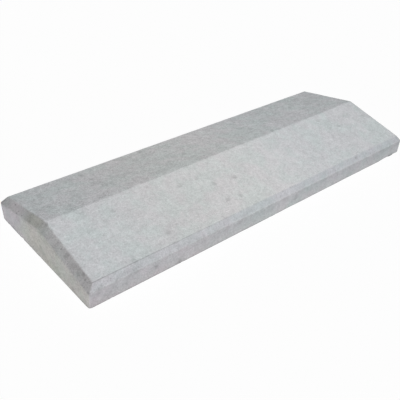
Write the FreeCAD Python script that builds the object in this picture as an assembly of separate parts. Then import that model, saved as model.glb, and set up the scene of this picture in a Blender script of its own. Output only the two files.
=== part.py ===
import FreeCAD
import Part

import os

# A twice-weathered concrete coping slab: the capping laid end to end along the top of a wall.
#
# It is one piece of cast concrete. The top falls both ways from a ridge along the middle, so
# that rain runs off both sides. A bevelled arris runs right round the top: along the two eaves,
# and up and over the two gable ends. The upright corners are rounded off, most at the bed and
# hardly at all at the bevel. The underside is one flat bed.
#
# Millimetres, +X along the ridge, +Y across the wall, +Z up. The origin is the middle of the bed.

# Overall sizes
slab_length = 1000.0
slab_width = 350.0
ridge_thickness = 88.0  # bed to ridge
edge_thickness = 51.0  # bed to where a slope, carried on outwards, meets the side face

# Bevelled arris round the top
bevel_drop = 13.0  # from a slope, carried on outwards, down to the bevel's lower line
end_bevel_depth = 14.0  # how far it reaches in along the slab, at the gable ends
side_bevel_depth = 9.0  # how far it reaches in across the slab, at the eaves

# Upright corners
corner_radius_at_bed = 12.0
corner_radius_at_eaves = 1.5

# Sizes that follow
half_length = slab_length / 2
half_width = slab_width / 2
fall = (ridge_thickness - edge_thickness) / half_width  # drop of a slope for each millimetre across
side_face_height = edge_thickness - bevel_drop
eaves_out = half_width - side_bevel_depth  # ridge to the lower edge of a slope, in plan
eaves_height = ridge_thickness - fall * eaves_out


def closed_wire(corners):
    """A closed outline through the corners, each an (x, y, z)."""
    points = [FreeCAD.Vector(*corner) for corner in corners]
    return Part.makePolygon(points + points[:1])


def weathered_prism():
    """The slab's section across the wall, with its side bevels, run from end to end."""
    side = [(half_width, 0), (half_width, side_face_height), (eaves_out, eaves_height)]
    other_side = [(-y, z) for y, z in reversed(side)]
    section = side + [(0, ridge_thickness)] + other_side
    outline = closed_wire([(-half_length, y, z) for y, z in section])
    return Part.Face(outline).extrude(FreeCAD.Vector(slab_length, 0, 0))


def end_bevel_waste(end, side):
    """The wedge that the bevel takes off one slope at one end; end and side are -1 or +1."""
    outer = end * half_length
    inner = outer - end * end_bevel_depth
    wedge = closed_wire([
        (outer, 0, ridge_thickness - bevel_drop),
        (inner, 0, ridge_thickness),
        (outer, 0, ridge_thickness),
    ])
    down_the_slope = FreeCAD.Vector(0, side * half_width, -fall * half_width)
    return Part.Face(wedge).extrude(down_the_slope)


def plan_outline(radius, height):
    """The slab's plan at a height, with its corners rounded to a radius."""
    x = half_length - radius
    y = half_width - radius
    arc_centres = closed_wire([(x, y, height), (-x, y, height), (-x, -y, height), (x, -y, height)])
    return arc_centres.makeOffset2D(radius)


def rounded_block():
    """The block that the slab is cut from, with its four upright corners rounded off."""
    outlines = [
        plan_outline(corner_radius_at_bed, 0),
        plan_outline(corner_radius_at_eaves, eaves_height),
        plan_outline(corner_radius_at_eaves, ridge_thickness),
    ]
    return Part.makeLoft(outlines, True, True)


def coping_slab():
    """The whole slab, as one solid."""
    slab = weathered_prism()
    for end in (-1, 1):
        slab = slab.cut(end_bevel_waste(end, -1).fuse(end_bevel_waste(end, 1)))
    return slab.common(rounded_block()).removeSplitter().Solids[0]


os.makedirs("parts", exist_ok=True)
coping_slab().exportStep("parts/coping_slab.step")
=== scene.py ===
"""Concrete coping slab: the capping laid along the top of a wall, lying on a studio floor.

The slab is one piece of plain cast concrete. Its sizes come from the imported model's box; this
script gives it worn arrises, chips, pits and an uneven cast face, and the concrete itself.
"""

import math
import random

import bpy
import numpy as np
from bpy.props import FloatProperty, FloatVectorProperty, IntProperty, PointerProperty
from mathutils import Matrix, Vector, noise


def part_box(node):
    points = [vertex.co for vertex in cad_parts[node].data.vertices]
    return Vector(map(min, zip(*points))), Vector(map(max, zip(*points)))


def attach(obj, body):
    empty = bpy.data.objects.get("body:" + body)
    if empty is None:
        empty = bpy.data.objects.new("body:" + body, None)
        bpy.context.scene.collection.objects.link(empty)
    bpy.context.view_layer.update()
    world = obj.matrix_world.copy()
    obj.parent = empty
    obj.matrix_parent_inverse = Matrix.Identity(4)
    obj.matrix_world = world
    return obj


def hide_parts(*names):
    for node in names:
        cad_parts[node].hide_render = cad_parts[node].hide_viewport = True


bl_info = {
    "name": "Concrete coping slab",
    "version": (1, 0, 0),
    "blender": (4, 5, 0),
    "location": "3D View > Sidebar > Coping",
    "description": "Casts a twice-weathered concrete coping slab and lays it on a studio floor",
    "category": "Object",
}

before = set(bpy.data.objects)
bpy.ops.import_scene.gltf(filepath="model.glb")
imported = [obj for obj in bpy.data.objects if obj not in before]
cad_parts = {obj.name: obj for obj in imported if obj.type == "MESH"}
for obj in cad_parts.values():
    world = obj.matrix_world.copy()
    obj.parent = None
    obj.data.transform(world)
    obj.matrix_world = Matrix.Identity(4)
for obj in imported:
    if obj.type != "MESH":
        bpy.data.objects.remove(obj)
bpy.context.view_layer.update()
slab_low, slab_high = (tuple(corner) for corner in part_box("coping_slab"))

MM = 0.001


def linear(hex_colour):
    """An sRGB colour, written as in #9C9C9A, as linear red, green and blue."""
    values = [int(hex_colour[i:i + 2], 16) / 255 for i in (1, 3, 5)]
    return [v / 12.92 if v <= 0.04045 else ((v + 0.055) / 1.055) ** 2.4 for v in values]


def length_setting(name, description, millimetres):
    return FloatProperty(name=name, description=description, default=millimetres * MM, min=0.0,
                         unit="LENGTH", subtype="DISTANCE", precision=4)


def colour_setting(name, description, hex_colour):
    return FloatVectorProperty(name=name, description=description, size=3, min=0.0, max=1.0,
                               subtype="COLOR", default=linear(hex_colour))


# ---------------------------------------------------------------------------------------------
# Settings
# ---------------------------------------------------------------------------------------------

class SlabShape(bpy.types.PropertyGroup):
    """The slab's section, and how worn and uneven it is"""
    edge_thickness: length_setting(
        "Edge thickness", "Bed to where a slope, carried on outwards, meets the side face", 51.0)
    bevel_drop: length_setting(
        "Bevel drop", "From a slope, carried on outwards, down to the bevel's lower line", 13.0)
    end_bevel_depth: length_setting(
        "End bevel depth", "How far the bevel reaches in at the gable ends", 14.0)
    side_bevel_depth: length_setting(
        "Side bevel depth", "How far the bevel reaches in at the eaves", 9.0)
    corner_at_bed: length_setting(
        "Corner rounding at bed", "Sets how round the four upright corners are at the bed", 12.0)
    corner_at_eaves: length_setting(
        "Corner rounding at eaves", "Radius of an upright corner at the bevel", 2.5)
    arris_radius: length_setting("Arris radius", "How far the arrises are worn round", 1.2)
    ridge_radius: length_setting("Ridge radius", "How far the ridge is worn round", 0.7)
    unevenness: length_setting("Unevenness", "How far the cast faces wander from flat", 0.38)
    chips: IntProperty(name="Chips", description="Small chips scattered along the arrises",
                       default=70, min=0)
    seed: IntProperty(name="Seed", description="Changes where the scattered chips fall", default=11)


class SlabFinish(bpy.types.PropertyGroup):
    """The colours of the concrete"""
    slopes: colour_setting("Slopes", "The two weathered slopes, smooth cement paste", "#C6C7C7")
    long_side: colour_setting("Long sides", "The upright long faces, cast against the mould", "#B2B6B8")
    side_bevel: colour_setting("Side bevels", "The bevels along the eaves", "#ADB1B4")
    end_face: colour_setting("End faces", "The upright ends, with more buff sand showing", "#BDBDB6")
    end_bevel: colour_setting("Gable bevels", "The bevels over the ends, open-textured", "#969696")
    mould_oil: colour_setting("Mould oil", "The faint purple cast where mould oil was left on", "#BFBBBF")
    algae: colour_setting("Algae", "The faint olive stain on the gable bevel by the ridge", "#92958C")
    # The pore colour is painted shade: the dark inside of a hole.
    pore: colour_setting("Pores", "The inside of a pore", "#6A686A")


class Studio(bpy.types.PropertyGroup):
    """The floor, the lamps and the camera"""
    floor_colour: colour_setting("Floor", "The pale floor, as the slab sees it", "#C2C2C2")
    key_strength: FloatProperty(name="Key", description="Strength of the main softbox",
                                default=3.35, min=0.0)
    fill_strength: FloatProperty(name="Fill", description="Strength of the light from all round",
                                 default=0.19, min=0.0)
    focal_length: FloatProperty(name="Focal length", description="Of the lens, on a 36 mm sensor",
                                default=54.0, min=1.0, unit="CAMERA")


# ---------------------------------------------------------------------------------------------
# The slab's shape
# ---------------------------------------------------------------------------------------------

class SlabPlanes:
    """The flat faces that bound the slab before it wears, each as an outward normal and a level."""

    def __init__(self, shape):
        self.half_length = slab_high[0]
        self.half_width = slab_high[1]
        self.ridge = slab_high[2]
        self.fall = (self.ridge - shape.edge_thickness) / self.half_width
        self.side_height = shape.edge_thickness - shape.bevel_drop
        self.eaves_out = self.half_width - shape.side_bevel_depth
        self.slope_end = self.half_length - shape.end_bevel_depth
        self.bevel_drop = shape.bevel_drop
        self.ends = [self.plane((x, 0, 0), (x * self.half_length, 0, 0)) for x in (-1, 1)]
        self.sides = [self.plane((0, y, 0), (0, y * self.half_width, 0)) for y in (-1, 1)]
        self.slopes = [self.plane((0, y * self.fall, 1), (0, 0, self.ridge)) for y in (-1, 1)]
        eaves = self.slope_height(self.eaves_out)
        rise = eaves - self.side_height
        self.side_bevels = [self.plane((0, y * rise, shape.side_bevel_depth),
                                       (0, y * self.half_width, self.side_height))
                            for y in (-1, 1)]
        drop, depth = shape.bevel_drop, shape.end_bevel_depth
        self.end_bevels = [self.plane((x * drop, y * self.fall * depth, depth),
                                      (x * self.slope_end, 0, self.ridge))
                           for x in (-1, 1) for y in (-1, 1)]
        self.bed = self.plane((0, 0, -1), (0, 0, 0))

    @staticmethod
    def plane(outward, point):
        outward = Vector(outward).normalized()
        return np.array(outward), outward.dot(Vector(point))

    def slope_height(self, y):
        return self.ridge - self.fall * np.abs(y)


def above(points, plane):
    """How far each point stands outside a plane."""
    outward, level = plane
    return points @ outward - level


def soft_max(values, softness):
    """The largest of several values, rounded over where two of them are within the softness."""
    values = np.stack(values)
    largest = values.max(axis=0)
    return largest + softness * np.log(np.exp((values - largest) / softness).sum(axis=0))


# A soft maximum rounds a right-angled arris to about this many times its softness.
RADIUS_PER_SOFTNESS = 2.37


def even_steps(start, end, step):
    return list(np.linspace(start, end, max(2, int(round(abs(end - start) / step)) + 1)))[:-1]


def stations(half, coarse, fine_at_middle):
    """Places from -1 to 1 along one side of the slab, close together at arrises, in shares of half.

    The sizes that it starts from are in millimetres.
    """
    fine = [0.0, 0.5, 1.0, 1.6, 2.3, 3.1, 4.1, 5.4, 7.0, 9.0, 11.5, 14.5]
    from_end = [half - d * MM for d in fine]
    if fine_at_middle:
        near_middle = [d * MM for d in (0.0, 0.8, 1.8, 3.2, 5.2, 8.0)]
    else:
        near_middle = [0.0]
    between = even_steps(near_middle[-1], from_end[-1], coarse * MM)[1:]
    positive = near_middle + between + from_end[::-1]
    return np.array([-p for p in positive[:0:-1]] + positive) / half


class SlabGrid:
    """A closed mesh of quads over the sharp slab, with its rows close together at every arris."""

    def __init__(self, planes):
        coarse = 3.9
        self.along = stations(planes.half_length, coarse, False)
        self.across = stations(planes.half_width, coarse, True)
        # Shares of the way down the bevel and down the upright face.
        bevel = np.array([0.0, 0.05, 0.11, 0.19, 0.30, 0.44, 0.58, 0.71, 0.82, 0.90, 0.95])
        wall = np.array([0.0, 0.015, 0.035, 0.065, 0.11, 0.18, 0.27, 0.37, 0.47,
                         0.57, 0.67, 0.76, 0.84, 0.90, 0.94, 0.97, 0.985, 1.0])
        self.vertices = []
        self.faces = []
        u, v = np.meshgrid(self.along, self.across, indexing="ij")
        top = self.add_grid(u * planes.slope_end, v * planes.eaves_out,
                            planes.ridge - planes.fall * np.abs(v) * planes.eaves_out)
        rim = self.rim()
        rim_u = np.array([self.along[i] for i, j in rim])
        rim_v = np.array([self.across[j] for i, j in rim])
        upper = np.stack([rim_u * planes.slope_end, rim_v * planes.eaves_out,
                          planes.ridge - planes.fall * np.abs(rim_v) * planes.eaves_out], axis=1)
        lower_z = planes.ridge - planes.bevel_drop - planes.fall * np.abs(rim_v) * planes.half_width
        lower = np.stack([rim_u * planes.half_length, rim_v * planes.half_width, lower_z], axis=1)
        foot = lower * (1, 1, 0)
        rows = [np.array([top[i, j] for i, j in rim])]
        rows += [self.add_row(upper + (lower - upper) * share) for share in bevel[1:]]
        rows += [self.add_row(lower + (foot - lower) * share) for share in wall]
        bed = self.add_grid(u * planes.half_length, v * planes.half_width, 0 * u, dict(zip(rim, rows[-1])))
        self.skin_grid(top, False)
        self.skin_grid(bed, True)
        for above_row, below_row in zip(rows, rows[1:]):
            self.skin_band(above_row, below_row)

    def rim(self):
        """The grid places round the edge of the top, anticlockwise from above."""
        last_i, last_j = len(self.along) - 1, len(self.across) - 1
        front = [(i, 0) for i in range(last_i)]
        right = [(last_i, j) for j in range(last_j)]
        back = [(i, last_j) for i in range(last_i, 0, -1)]
        left = [(0, j) for j in range(last_j, 0, -1)]
        return front + right + back + left

    def add_grid(self, x, y, z, known=None):
        """Adds a grid of vertices, but for the known ones, and returns every vertex's number."""
        known = known or {}
        numbers = np.empty(x.shape, dtype=int)
        for i, j in np.ndindex(x.shape):
            if (i, j) in known:
                numbers[i, j] = known[i, j]
            else:
                numbers[i, j] = len(self.vertices)
                self.vertices.append((x[i, j], y[i, j], z[i, j]))
        return numbers

    def add_row(self, points):
        first = len(self.vertices)
        self.vertices.extend(map(tuple, points))
        return np.arange(first, first + len(points))

    def skin_grid(self, numbers, facing_down):
        a, b, c, d = numbers[:-1, :-1], numbers[1:, :-1], numbers[1:, 1:], numbers[:-1, 1:]
        corners = (d, c, b, a) if facing_down else (a, b, c, d)
        self.faces.extend(np.stack(corners, axis=-1).reshape(-1, 4).tolist())

    def skin_band(self, upper, lower):
        following_upper, following_lower = np.roll(upper, -1), np.roll(lower, -1)
        self.faces.extend(np.stack((upper, lower, following_lower, following_upper), axis=1).tolist())


def wander(points, size, salt):
    """Smooth noise from about -1 to 1 at each point, whose swells are about the given size across."""
    shift = Vector((salt * 7.31, salt * 3.17, salt * 5.73))
    return np.array([noise.noise(Vector(p) / size + shift) for p in points])


def bite(place, outward, radius, depth, dark=0.0):
    """A ball that bites into the slab at a place: its centre, its radius and how dark it leaves it."""
    centre = Vector(place) + Vector(outward).normalized() * (radius - depth)
    return np.array(centre), radius, dark


def scattered_chips(shape, planes):
    """Small chips at random along the arrises."""
    dice = random.Random(shape.seed)
    chips = []
    for _ in range(shape.chips):
        kind = dice.choice(("bed side", "bed side", "bed end", "bevel foot", "gable", "gable", "eaves"))
        x_side, y_side = dice.choice((-1, 1)), dice.choice((-1, 1))
        x = dice.uniform(-1, 1) * planes.slope_end
        y = dice.uniform(-1, 1) * planes.eaves_out
        radius = dice.uniform(2.0, 5.0) * MM
        depth = dice.uniform(0.5, 1.5) * MM
        if kind == "bed side":
            chips.append(bite((x, y_side * planes.half_width, 0), (0, y_side, -1), radius, depth))
        elif kind == "bed end":
            chips.append(bite((x_side * planes.half_length, y, 0), (x_side, 0, -1), radius, depth))
        elif kind == "bevel foot":
            foot = planes.side_height
            chips.append(bite((x, y_side * planes.half_width, foot), (0, y_side, 0.4), radius, depth))
        elif kind == "gable":
            foot = planes.slope_height(y) - planes.bevel_drop
            chips.append(bite((x_side * planes.half_length, y, foot), (x_side, 0, 0.5), radius, depth))
        else:
            eaves = planes.slope_height(planes.eaves_out)
            place = (x, y_side * planes.eaves_out, eaves)
            chips.append(bite(place, (0, y_side * 0.5, 1), radius, depth / 2))
    return chips


def known_damage(planes):
    """The knocks and pits that this slab has."""
    left, front, foot = -planes.half_length, -planes.half_width, planes.side_height

    def on_gable(share, y):
        """A place on the near gable bevel, as a share of the way down it."""
        return (-planes.slope_end + share * (left + planes.slope_end), y,
                planes.slope_height(y) - share * planes.bevel_drop)

    ridge_end = (-planes.slope_end + 0.3 * MM, -3.3 * MM, planes.ridge - 2.5 * MM)
    off_gable = (-0.68, 0, 0.73)
    pit_in_bevel = (0.301, -planes.eaves_out - 3.6 * MM, foot + 9 * MM)
    return [
        # The near end of the ridge knocked off, and a nick at the front corner.
        bite(ridge_end, (-0.42, 0, 0.91), 22 * MM, 1.2 * MM, 0.11),
        bite((left, front, foot), (-1, -1, 0.4), 6 * MM, 3.5 * MM, 0.30),
        # Notches in the near end's bed arris.
        bite((left, 0.080, 0), (-1.5, 0, -1), 5.5 * MM, 1.9 * MM, 0.10),
        bite((left, 0.138, 0), (-1.5, 0, -1), 5.0 * MM, 1.4 * MM, 0.10),
        # Pits in the gable bevel.
        bite(on_gable(0.2, -0.140), off_gable, 5 * MM, 1.2 * MM, 0.28),
        bite(on_gable(0.6, -0.133), off_gable, 4 * MM, 1.0 * MM, 0.20),
        # Pits in the front bevel and at its foot.
        bite(pit_in_bevel, (0, -0.86, 0.51), 5 * MM, 1.5 * MM, 0.25),
        bite((left + 23 * MM, front, foot), (0, -1, 0.5), 4 * MM, 1.3 * MM, 0.25),
        bite((left + 62 * MM, front, foot), (0, -1, 0.5), 4 * MM, 1.2 * MM, 0.20),
    ]


def stretch(along, start, end, blend):
    """1 between two places along an arris, fading to 0 outside them."""
    outside = np.maximum(np.maximum(start - along, along - end), 0)
    return np.exp(-(outside / blend) ** 2)


def along_arris(one_face, other_face, width):
    """1 on the arris where two faces meet, fading to 0 at about the width away from it."""
    away = np.maximum(-one_face, 0) + np.maximum(-other_face, 0)
    return np.exp(-(away / width) ** 2)


def wear_slab(points, shape, planes):
    """Moves the sharp slab's points in to its worn surface, and gives each point's share of each face."""
    height = np.clip(points[:, 2] / planes.slope_height(planes.eaves_out), 0, 1)
    near_end = points[:, 0] < 0
    front = points[:, 1] < 0
    # The four upright corners aren't equally round at the bed.
    roundness = np.where(near_end, np.where(front, 0.45, 0.9), np.where(front, 0.2, 0.5))
    at_bed = shape.corner_at_bed * roundness
    corner = (at_bed + (shape.corner_at_eaves - at_bed) * np.minimum(1.3 * height, 1)) / RADIUS_PER_SOFTNESS
    patchy = 0.75 + 0.55 * wander(points, 45 * MM, 1)
    arris = shape.arris_radius * np.clip(patchy, 0.35, 1.6) / RADIUS_PER_SOFTNESS
    ridge = shape.ridge_radius / RADIUS_PER_SOFTNESS

    # Fins of fine concrete were left along two stretches of the bed arris: a short one in front near the
    # far end, with the arris worn down beside it, and a long one across the back of the near end.
    low = np.exp(-(points[:, 2] / (6 * MM)) ** 2)
    short_fin = low * front * stretch(points[:, 0], 0.459, 0.472, 4 * MM)
    long_fin = low * near_end * stretch(points[:, 1], 0.092, 0.150, 4 * MM)
    beside_short = low * front * stretch(points[:, 0], 0.430, 0.500, 12 * MM)
    # The bed arris is sharp at the near end, and in front it is more worn toward the far end.
    along_front = np.clip(0.35 + 3 * (points[:, 0] + 0.3), 0.35, 1.5)
    at_near_end = points[:, 0] < -planes.slope_end
    bed_wear = np.where(at_near_end, 0.3, np.where(front, along_front, 1))
    arris = arris * (1 + low * (bed_wear - 1))
    arris = arris * (1 + 2.0 * beside_short) * (1 - 0.9 * np.maximum(short_fin, long_fin))
    # The foot of the eaves bevel is crisp.
    arris = arris * (1 - 0.55 * stretch(points[:, 2], planes.side_height, planes.side_height, 5 * MM))

    # The faces wander from flat, and the gable bevels are rougher.
    rough_end = np.clip((np.abs(points[:, 0]) - planes.slope_end + 2 * MM) / (4 * MM), 0, 1)
    bevel_foot = planes.slope_height(points[:, 1]) - planes.bevel_drop - 1 * MM
    rough = rough_end * (points[:, 2] > bevel_foot)
    swell = 0.5 + 0.5 * wander(points, 110 * MM, 2)
    ripple = 0.5 + 0.5 * wander(points, 22 * MM, 3)
    grit = 0.5 + 0.5 * wander(points, 6 * MM, 4)
    inset = shape.unevenness * (0.55 * swell + 0.25 * ripple + (0.18 + 0.35 * rough) * grit)

    # The joint between the mould's lid and its side left a hair groove under the front eaves arris.
    below_eaves = planes.slope_height(planes.eaves_out) - points[:, 2]
    from_eaves = np.hypot(below_eaves - 0.2 * MM, points[:, 1] + planes.eaves_out)
    fading = np.clip(1.0 - (points[:, 0] + planes.half_length) / 0.6, 0.12, 1)
    joint = fading * np.exp(-(from_eaves / (0.9 * MM)) ** 2)
    inset = inset + 0.4 * MM * joint

    damage = known_damage(planes) + scattered_chips(shape, planes)
    near = []
    for centre, radius, _ in damage:
        distance = np.linalg.norm(points - centre, axis=1)
        near.append(np.nonzero(distance < radius + 12 * MM)[0])

    def outside(at, arris, corner):
        walls = soft_max([above(at, p) for p in planes.ends + planes.sides], corner)
        slopes = soft_max([above(at, p) for p in planes.slopes], ridge)
        bevels = soft_max([above(at, p) for p in planes.end_bevels + planes.side_bevels], arris)
        return soft_max([walls, slopes, bevels, above(at, planes.bed)], arris)

    def worn(at, with_damage):
        result = outside(at, arris, corner) + inset
        if with_damage:
            for (centre, radius, _), chosen in zip(damage, near):
                bitten = radius - np.linalg.norm(at[chosen] - centre, axis=1)
                result[chosen] = np.maximum(result[chosen], bitten)
        return result

    # Each point moves in along its own line, square to a much rounder slab.
    softness = 3.0 * MM
    step = 0.5 * MM
    inward = np.zeros_like(points)
    for axis in range(3):
        push = np.zeros(3)
        push[axis] = step
        inward[:, axis] = outside(points - push, softness, softness)
        inward[:, axis] -= outside(points + push, softness, softness)
    inward /= np.linalg.norm(inward, axis=1)[:, None]

    def depth_to_surface(with_damage):
        """How far in from the sharp slab each point's own line meets the worn surface."""
        deepest = 25 * MM
        depth = np.zeros(len(points))
        for _ in range(20):
            still_outside = worn(points + inward * depth[:, None], with_damage)
            depth = np.clip(depth + 0.9 * still_outside, 0, deepest)
        return depth

    unbroken = depth_to_surface(False)
    depth = depth_to_surface(True)
    moved = points + inward * depth[:, None]

    # The share of each face fades from one to the next over about a millimetre.
    faces = {
        "slope": planes.slopes,
        "side_face": planes.sides,
        "end_face": planes.ends,
        "side_bevel": planes.side_bevels,
        "end_bevel": planes.end_bevels,
        "bed": [planes.bed],
    }
    nearness = np.stack([np.max([above(moved, p) for p in group], axis=0) for group in faces.values()])
    nearness[list(faces).index("end_bevel")] += 0.6 * MM
    nearness = np.exp(np.clip(nearness - nearness.max(axis=0), -20 * MM, 0) / (0.45 * MM))
    shares = dict(zip(faces, nearness / nearness.sum(axis=0)))
    eaves = np.max([above(moved, p) for p in planes.side_bevels], axis=0)
    gables = np.max([above(moved, p) for p in planes.end_bevels], axis=0)
    walls = np.max([above(moved, p) for p in planes.sides], axis=0)
    ends = np.max([above(moved, p) for p in planes.ends], axis=0)
    shares["mould_joint"] = joint
    foot = planes.slope_height(moved[:, 1]) - planes.bevel_drop
    shares["down_wall"] = np.clip((foot - moved[:, 2]) / foot, 0, 1)
    # The fins' mask, which the concrete uses for painted contact shade on them.
    shares["fin"] = np.maximum(short_fin, 0.4 * long_fin)
    shares["upright_arris"] = along_arris(ends, walls, 0.8 * corner * RADIUS_PER_SOFTNESS + 1 * MM)
    # How much darker the paste is in and around each pit and chip, as each bite's dark value gives.
    stain = np.zeros(len(points))
    for (centre, radius, dark), chosen in zip(damage, near):
        within = radius + 1.0 * MM - np.linalg.norm(moved[chosen] - centre, axis=1)
        stain[chosen] = np.maximum(stain[chosen], dark * np.clip(within / (1.2 * MM), 0, 1))
    shares["stain"] = stain
    shares["broken"] = np.clip((depth - unbroken) / (1.2 * MM), 0, 1)
    shares["mitre"] = along_arris(eaves, gables, 1.5 * MM)
    # The foot of each eaves bevel, where a painted highlight runs along the arris.
    shares["bevel_foot"] = along_arris(eaves, walls, 1.2 * MM)
    return moved, shares


def cast_slab_mesh(shape):
    """The slab's whole mesh, with each face's share kept as an attribute for the concrete."""
    planes = SlabPlanes(shape)
    grid = SlabGrid(planes)
    points, shares = wear_slab(np.array(grid.vertices), shape, planes)
    mesh = bpy.data.meshes.new("coping_slab_cast")
    mesh.from_pydata(points.tolist(), [], grid.faces)
    mesh.validate()
    mesh.polygons.foreach_set("use_smooth", [True] * len(mesh.polygons))
    for name, values in shares.items():
        mesh.attributes.new(name, "FLOAT", "POINT").data.foreach_set("value", values.astype(np.float32))
    mesh.update()
    return mesh


# ---------------------------------------------------------------------------------------------
# Materials
# ---------------------------------------------------------------------------------------------

def add_node(tree, kind, settings=None, **inputs):
    """Adds a node. Settings are its own options; inputs are values, or sockets to link from.

    An input is named as it is in the node, with _ for a space, or is _ and its number.
    """
    node = tree.nodes.new(kind)
    for name, value in (settings or {}).items():
        setattr(node, name, value)
    for name, value in inputs.items():
        key = int(name[1:]) if name[0] == "_" else name.replace("_", " ")
        socket = node.inputs[key]
        if isinstance(value, bpy.types.NodeSocket):
            tree.links.new(value, socket)
        else:
            socket.default_value = value
    return node


def cast_concrete(finish):
    """Plain concrete, cast in a steel mould and left as struck.

    The paste dries in soft clouds of cooler and warmer grey, and the sand gives a fine speckle. The
    gable bevels came away open-textured, so they are darker and full of pores.
    """
    material = bpy.data.materials.new("cast_concrete_as_struck")
    material.use_nodes = True
    tree = material.node_tree
    tree.nodes.clear()
    place = add_node(tree, "ShaderNodeTexCoord").outputs["Object"]

    def colour(values):
        return (*values, 1.0)

    def share(name):
        return add_node(tree, "ShaderNodeAttribute", {"attribute_name": name}).outputs["Fac"]

    def swells(size_mm, detail=2.0, roughness=0.5, distortion=0.0):
        """Noise whose swells are about this many millimetres across."""
        made = add_node(tree, "ShaderNodeTexNoise", Vector=place, Scale=1.0 / (size_mm * MM), Detail=detail,
                        Roughness=roughness, Distortion=distortion)
        return made.outputs["Fac"]

    def spread(value, low, high, to_low=0.0, to_high=1.0):
        made = add_node(tree, "ShaderNodeMapRange", {"interpolation_type": "SMOOTHSTEP"}, Value=value,
                        From_Min=low, From_Max=high, To_Min=to_low, To_Max=to_high)
        return made.outputs["Result"]

    def maths(operation, first, second=0.0):
        return add_node(tree, "ShaderNodeMath", {"operation": operation}, _0=first, _1=second).outputs[0]

    def mixed(amount, first, second, blend="MIX"):
        made = add_node(tree, "ShaderNodeMix", {"data_type": "RGBA", "blend_type": blend},
                        _0=amount, _6=first, _7=second)
        return made.outputs[2]

    # Each face was cast against its own part of the mould, and oil stains one end and one side.
    along, across, up = add_node(tree, "ShaderNodeSeparateXYZ", Vector=place).outputs
    streaks = swells(60, 3.0, 0.6, 0.5)
    oily_end = spread(maths("ADD", along, maths("MULTIPLY", streaks, 0.5)), -0.05, 0.25, 1.0, 0.0)
    oily_side = spread(maths("ADD", across, maths("MULTIPLY", streaks, 0.12)), 0.08, 0.18)
    patches = spread(streaks, 0.35, 0.65, 0.0, 0.35)
    oil = colour(finish.mould_oil)
    paste = colour(finish.slopes)
    side_oil = maths("MAXIMUM", maths("MULTIPLY", oily_end, 0.85), patches)
    paste = mixed(share("side_face"), paste, mixed(side_oil, colour(finish.long_side), oil))
    end_oil = maths("MAXIMUM", oily_side, patches)
    paste = mixed(share("end_face"), paste, mixed(end_oil, colour(finish.end_face), oil))
    bevel_oil = maths("MULTIPLY", maths("MAXIMUM", oily_end, patches), 0.5)
    paste = mixed(share("side_bevel"), paste, mixed(bevel_oil, colour(finish.side_bevel), oil))
    rough = mixed(maths("MULTIPLY", oily_side, 0.3), colour(finish.end_bevel), oil)
    paste = mixed(share("end_bevel"), paste, rough)
    from_stain = maths("ABSOLUTE", maths("ADD", across, -0.03))
    algae = maths("MULTIPLY", share("end_bevel"), spread(from_stain, 0.01, 0.05, 0.6, 0.0))
    paste = mixed(algae, paste, colour(finish.algae))
    # Painted highlight: the foot of each eaves bevel is lightened toward the slopes' colour, a thin bright
    # line along the arris.
    paste = mixed(maths("MULTIPLY", share("bevel_foot"), 0.12), paste, colour(finish.slopes))
    paste = mixed(maths("MULTIPLY", share("broken"), 0.5), paste, colour(finish.end_bevel))
    warmer = maths("MULTIPLY", share("side_face"), spread(share("down_wall"), 0.3, 1.0))
    paste = mixed(warmer, paste, mixed(1.0, paste, (1.012, 1.0, 0.983, 1.0), "MULTIPLY"))

    # The paste dries in clouds about 45 mm across, cool against warm; toward both ends the colour turns
    # cooler, most on the slopes.
    large = maths("MULTIPLY", maths("SUBTRACT", swells(130, 1.0, 0.5), 0.5), 0.5)
    clouds = spread(maths("ADD", swells(45, 3.0, 0.6), large), 0.34, 0.66)
    tint = mixed(clouds, (0.974, 1.008, 0.998, 1.0), (1.018, 0.992, 1.004, 1.0))
    paste = mixed(1.0, paste, tint, "MULTIPLY")
    from_middle = maths("ABSOLUTE", maths("ADD", along, 0.12))
    cooler = maths("MULTIPLY", spread(from_middle, 0.06, 0.34), maths("MAXIMUM", share("slope"), 0.25))
    paste = mixed(cooler, paste, mixed(1.0, paste, (0.970, 0.997, 1.016, 1.0), "MULTIPLY"))

    # Sand is 0.5 to 1 mm, too fine to show: drawn as 2.8 mm grain. Above it, the mix is uneven at
    # every size up to the slab's own.
    tone = 1.0
    for size, strength in ((2.8, 0.52), (6, 0.27), (13, 0.22), (30, 0.15), (90, 0.06)):
        uneven = maths("MULTIPLY", maths("SUBTRACT", swells(size, 1.0, 0.6), 0.5), strength)
        tone = maths("ADD", uneven, tone)
    back_slope = maths("MULTIPLY", share("slope"), spread(across, -1.5 * MM, 1.5 * MM))
    rougher = maths("MULTIPLY", share("end_bevel"), 0.2)
    rougher = maths("ADD", rougher, maths("MULTIPLY", share("end_face"), 0.25))
    rougher = maths("ADD", maths("ADD", rougher, maths("MULTIPLY", back_slope, 0.6)), 1.0)
    tone = maths("ADD", maths("MULTIPLY", maths("SUBTRACT", tone, 1.0), rougher), 1.0)
    # Painted shade: the paste darkens toward both ends, a tenth darker at each end than in the middle, a
    # fall-off of the light on top of the paste's own tone.
    tone = maths("ADD", tone, maths("ADD", maths("MULTIPLY", maths("ABSOLUTE", along), -0.20), 0.033))
    # Painted light: the back slope is made 3.5 % brighter, standing in for more light reaching it.
    tone = maths("ADD", tone, maths("MULTIPLY", back_slope, 0.035))
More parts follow.
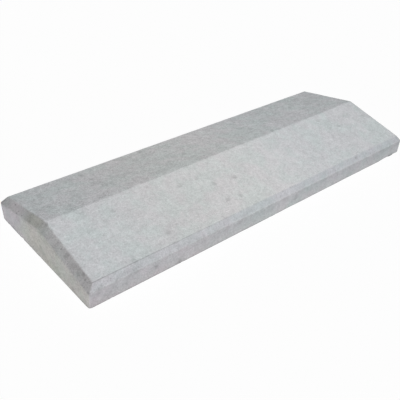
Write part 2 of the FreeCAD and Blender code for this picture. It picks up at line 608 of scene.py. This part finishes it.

    # Painted shade and light, partly the concrete's own tone: each upright face is duller just under its
    # bevel, an end darker again near the bed, and a long side grows paler toward the bed.
    down = share("down_wall")
    end_tone = maths("ADD", spread(down, 0.0, 0.22, -0.10, 0.0), spread(down, 0.15, 0.5, 0.0, 0.02))
    end_tone = maths("ADD", end_tone, spread(down, 0.55, 0.95, 0.0, -0.035))
    end_tone = maths("ADD", end_tone, maths("MULTIPLY", oily_side, 0.04))
    tone = maths("ADD", tone, maths("MULTIPLY", share("end_face"), end_tone))
    side_tone = maths("MULTIPLY", spread(down, 0.05, 0.85, -0.048, 0.026), spread(along, -0.4, 0.0))
    tone = maths("ADD", tone, maths("MULTIPLY", share("side_face"), side_tone))
    film = maths("MULTIPLY", oily_end, spread(up, 40 * MM, 50 * MM, -0.045, 0.0))
    tone = maths("ADD", tone, maths("MULTIPLY", share("side_bevel"), film))
    blotches = maths("ADD", spread(swells(24, 2.0, 0.6), 0.3, 0.7, 0.045, -0.045),
                     spread(maths("ABSOLUTE", across), 0.07, 0.14, 0.0, -0.05))
    blotches = maths("ADD", blotches, spread(across, 0.12, 0.17, 0.0, -0.12))
    tone = maths("ADD", tone, maths("MULTIPLY", share("end_bevel"), blotches))
    by_gable = maths("MULTIPLY", spread(along, -0.486, -0.470, -0.05, 0.0), spread(across, -0.02, 0.13))
    tone = maths("ADD", tone, maths("MULTIPLY", share("slope"), by_gable))

    # Darker just above the bed, in and around the pits and chips, on the fins, and on the near end's upright
    # corners and mitres.
    darkening = maths("MULTIPLY", spread(up, 1.0 * MM, 4.5 * MM, 0.26, 0.0), spread(streaks, 0.3, 0.6, 0.6, 1.0))
    near_half = spread(along, -0.1, 0.1, 1.0, 0.0)
    arrises = maths("MULTIPLY", share("upright_arris"), 0.14)
    arrises = maths("ADD", arrises, maths("MULTIPLY", share("mitre"), 0.12))
    # Painted shade: the fins are darkened as if in contact shadow where they meet the floor.
    darkening = maths("ADD", darkening, maths("MULTIPLY", share("fin"), 0.40))
    darkening = maths("ADD", darkening, share("stain"))
    darkening = maths("ADD", darkening, maths("MULTIPLY", arrises, near_half))
    tone = maths("MULTIPLY", tone, maths("SUBTRACT", 1.0, darkening))

    # Richer spots of paste, about 12 mm across, dried a little darker.
    richer = add_node(tree, "ShaderNodeTexVoronoi", {"feature": "F1"}, Vector=place,
                      Scale=1.0 / (42 * MM), Randomness=1.0)
    spot_edge = maths("ADD", richer.outputs["Distance"], maths("MULTIPLY", swells(8, 2.0, 0.6), 0.2))
    spot = spread(spot_edge, 0.16, 0.32, 1.0, 0.0)
    spot = maths("MULTIPLY", spot, spread(swells(55, 1.0), 0.36, 0.52))
    tone = maths("MULTIPLY", tone, maths("SUBTRACT", 1.0, maths("MULTIPLY", spot, 0.17)))
    # Half as bright along the mould joint's hair groove.
    tone = maths("MULTIPLY", tone, maths("SUBTRACT", 1.0, maths("MULTIPLY", share("mould_joint"), 0.50)))
    grey = add_node(tree, "ShaderNodeCombineColor", Red=tone, Green=tone, Blue=tone).outputs["Color"]
    body = mixed(1.0, paste, grey, "MULTIPLY")

    # Air pores, up to about 4 mm across, in the gable bevels, and fainter in the eaves bevels and ends.
    cells = add_node(tree, "ShaderNodeTexVoronoi", {"feature": "F1"}, Vector=place,
                     Scale=1.0 / (9 * MM), Randomness=1.0)
    sized = maths("MULTIPLY", spread(swells(30, 1.0), 0.35, 0.65), 0.26)
    rim = maths("SUBTRACT", sized, cells.outputs["Distance"])
    pore = spread(rim, -0.05, 0.08)
    open_face = maths("ADD", share("end_bevel"), maths("MULTIPLY", share("side_bevel"), 0.35))
    open_face = maths("ADD", open_face, maths("MULTIPLY", share("end_face"), 0.2))
    pore = maths("MULTIPLY", maths("MULTIPLY", pore, open_face), 0.75)
    # Painted shade: each pore's inside is darkened toward the pore colour.
    body = mixed(pore, body, colour(finish.pore))

    height = maths("ADD", maths("MULTIPLY", swells(2.6, 3.0, 0.7), 0.35), maths("MULTIPLY", pore, -1.0))
    bump = add_node(tree, "ShaderNodeBump", Strength=0.2, Distance=0.6 * MM, Height=height)

    surface = add_node(tree, "ShaderNodeBsdfPrincipled", Base_Color=body, Roughness=0.9,
                       Normal=bump.outputs["Normal"])
    surface.inputs["IOR"].default_value = 1.5
    surface.inputs["Specular IOR Level"].default_value = 0.3
    add_node(tree, "ShaderNodeOutputMaterial", Surface=surface.outputs[0])
    return material


def looked_at(tree):
    """1 where the camera, a reflection or clear glass looks at a surface, 0 where light bounces off it."""
    path = add_node(tree, "ShaderNodeLightPath").outputs
    seen = add_node(tree, "ShaderNodeMath", {"operation": "MAXIMUM"},
                    _0=path["Is Camera Ray"], _1=path["Is Glossy Ray"]).outputs[0]
    return add_node(tree, "ShaderNodeMath", {"operation": "MAXIMUM"},
                    _0=seen, _1=path["Is Transmission Ray"]).outputs[0]


def studio_floor(colour):
    """Matt painted board, rolled smooth: pale and without a sheen.

    It looks white, and keeps a faint shadow, but throws only its own grey light on the slab.
    """
    material = bpy.data.materials.new("painted_board_floor")
    material.use_nodes = True
    tree = material.node_tree
    tree.nodes.clear()
    paint = add_node(tree, "ShaderNodeBsdfDiffuse", Color=(*colour, 1.0), Roughness=1.0)
    white_paint = add_node(tree, "ShaderNodeBsdfDiffuse", Color=(1, 1, 1, 1), Roughness=0.0)
    white = add_node(tree, "ShaderNodeEmission", Color=(1, 1, 1, 1), Strength=1.0)
    glow = 0.88
    shaded = add_node(tree, "ShaderNodeMixShader", _0=glow, _1=white_paint.outputs[0], _2=white.outputs[0])
    surface = add_node(tree, "ShaderNodeMixShader", _0=looked_at(tree), _1=paint.outputs[0],
                       _2=shaded.outputs[0])
    add_node(tree, "ShaderNodeOutputMaterial", Surface=surface.outputs[0])
    return material


# ---------------------------------------------------------------------------------------------
# Operators
# ---------------------------------------------------------------------------------------------

class COPING_OT_stage(bpy.types.Operator):
    """Lay the floor, hang the lights and set up the camera"""
    bl_idname = "coping.set_stage"
    bl_label = "Set the stage"

    def execute(self, context):
        studio = context.scene.coping_studio
        reach = 9.0
        mesh = bpy.data.meshes.new("studio_floor")
        mesh.from_pydata([(-reach, -reach, 0), (reach, -reach, 0), (reach, reach, 0), (-reach, reach, 0)],
                         [], [(0, 1, 2, 3)])
        mesh.materials.append(studio_floor(studio.floor_colour))
        floor = bpy.data.objects.new("studio_floor", mesh)
        floor.location.z = slab_low[2] - 0.0002
        context.collection.objects.link(floor)
        self.hang_lights(context, studio)
        self.set_camera(context, studio)
        return {"FINISHED"}

    @staticmethod
    def hang_lights(context, studio):
        softbox = bpy.data.lights.new("front_softbox", "SUN")
        softbox.energy = studio.key_strength
        softbox.angle = math.radians(24)
        lamp = bpy.data.objects.new("front_softbox", softbox)
        shines = Vector((0.51, 0.60, -0.62))
        lamp.rotation_euler = shines.to_track_quat("-Z", "Y").to_euler()
        lamp.location = -shines * 4
        context.collection.objects.link(lamp)

        world = context.scene.world or bpy.data.worlds.new("studio")
        context.scene.world = world
        world.use_nodes = True
        tree = world.node_tree
        tree.nodes.clear()
        fill = add_node(tree, "ShaderNodeBackground", Color=(1, 1, 1, 1), Strength=studio.fill_strength)
        white = add_node(tree, "ShaderNodeBackground", Color=(0.985, 0.985, 0.985, 1), Strength=1.0)
        both = add_node(tree, "ShaderNodeMixShader", _0=looked_at(tree), _1=fill.outputs[0],
                        _2=white.outputs[0])
        add_node(tree, "ShaderNodeOutputWorld", Surface=both.outputs[0])

    @staticmethod
    def set_camera(context, studio):
        lens = bpy.data.cameras.new("studio_camera")
        lens.sensor_width = 36.0
        lens.lens = studio.focal_length
        lens.clip_start = 0.01
        camera = bpy.data.objects.new("studio_camera", lens)
        stands_at = Vector((-0.9044, -0.8660, 0.8148))
        looks_at = Vector((-0.1421, -0.0704, 0.0400))
        tilt = math.radians(4.89)
        aim = (looks_at - stands_at).to_track_quat("-Z", "Y").to_matrix().to_4x4()
        camera.matrix_world = Matrix.Translation(stands_at) @ aim @ Matrix.Rotation(tilt, 4, "Z")
        context.collection.objects.link(camera)
        context.scene.camera = camera
        context.scene.view_settings.view_transform = "Standard"


class COPING_OT_slab(bpy.types.Operator):
    """Cast the slab and give it its concrete"""
    bl_idname = "coping.cast_slab"
    bl_label = "Cast the slab"

    def execute(self, context):
        mesh = cast_slab_mesh(context.scene.coping_shape)
        if not mesh.polygons:
            raise RuntimeError("the slab's mesh came out empty")
        mesh.materials.append(cast_concrete(context.scene.coping_finish))
        slab = bpy.data.objects.new("cast_coping_slab", mesh)
        context.collection.objects.link(slab)
        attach(slab, "root")
        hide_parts("coping_slab")
        return {"FINISHED"}


class COPING_PT_sidebar(bpy.types.Panel):
    """Lists the coping slab's steps and settings"""
    bl_idname = "COPING_PT_sidebar"
    bl_label = "Coping slab"
    bl_space_type = "VIEW_3D"
    bl_region_type = "UI"
    bl_category = "Coping"

    def draw(self, context):
        scene = context.scene
        for title, group, operator in (
            ("Stage", scene.coping_studio, COPING_OT_stage),
            ("Shape", scene.coping_shape, None),
            ("Concrete", scene.coping_finish, COPING_OT_slab),
        ):
            box = self.layout.box()
            box.label(text=title)
            for name in group.__annotations__:
                box.prop(group, name)
            if operator:
                box.operator(operator.bl_idname)


classes = (SlabShape, SlabFinish, Studio, COPING_OT_stage, COPING_OT_slab, COPING_PT_sidebar)


def register():
    for cls in classes:
        bpy.utils.register_class(cls)
    bpy.types.Scene.coping_shape = PointerProperty(type=SlabShape)
    bpy.types.Scene.coping_finish = PointerProperty(type=SlabFinish)
    bpy.types.Scene.coping_studio = PointerProperty(type=Studio)


def unregister():
    for name in ("coping_shape", "coping_finish", "coping_studio"):
        delattr(bpy.types.Scene, name)
    for cls in reversed(classes):
        bpy.utils.unregister_class(cls)


def main():
    register()
    bpy.ops.coping.set_stage()
    bpy.ops.coping.cast_slab()


if __name__ == "__main__":
    main()
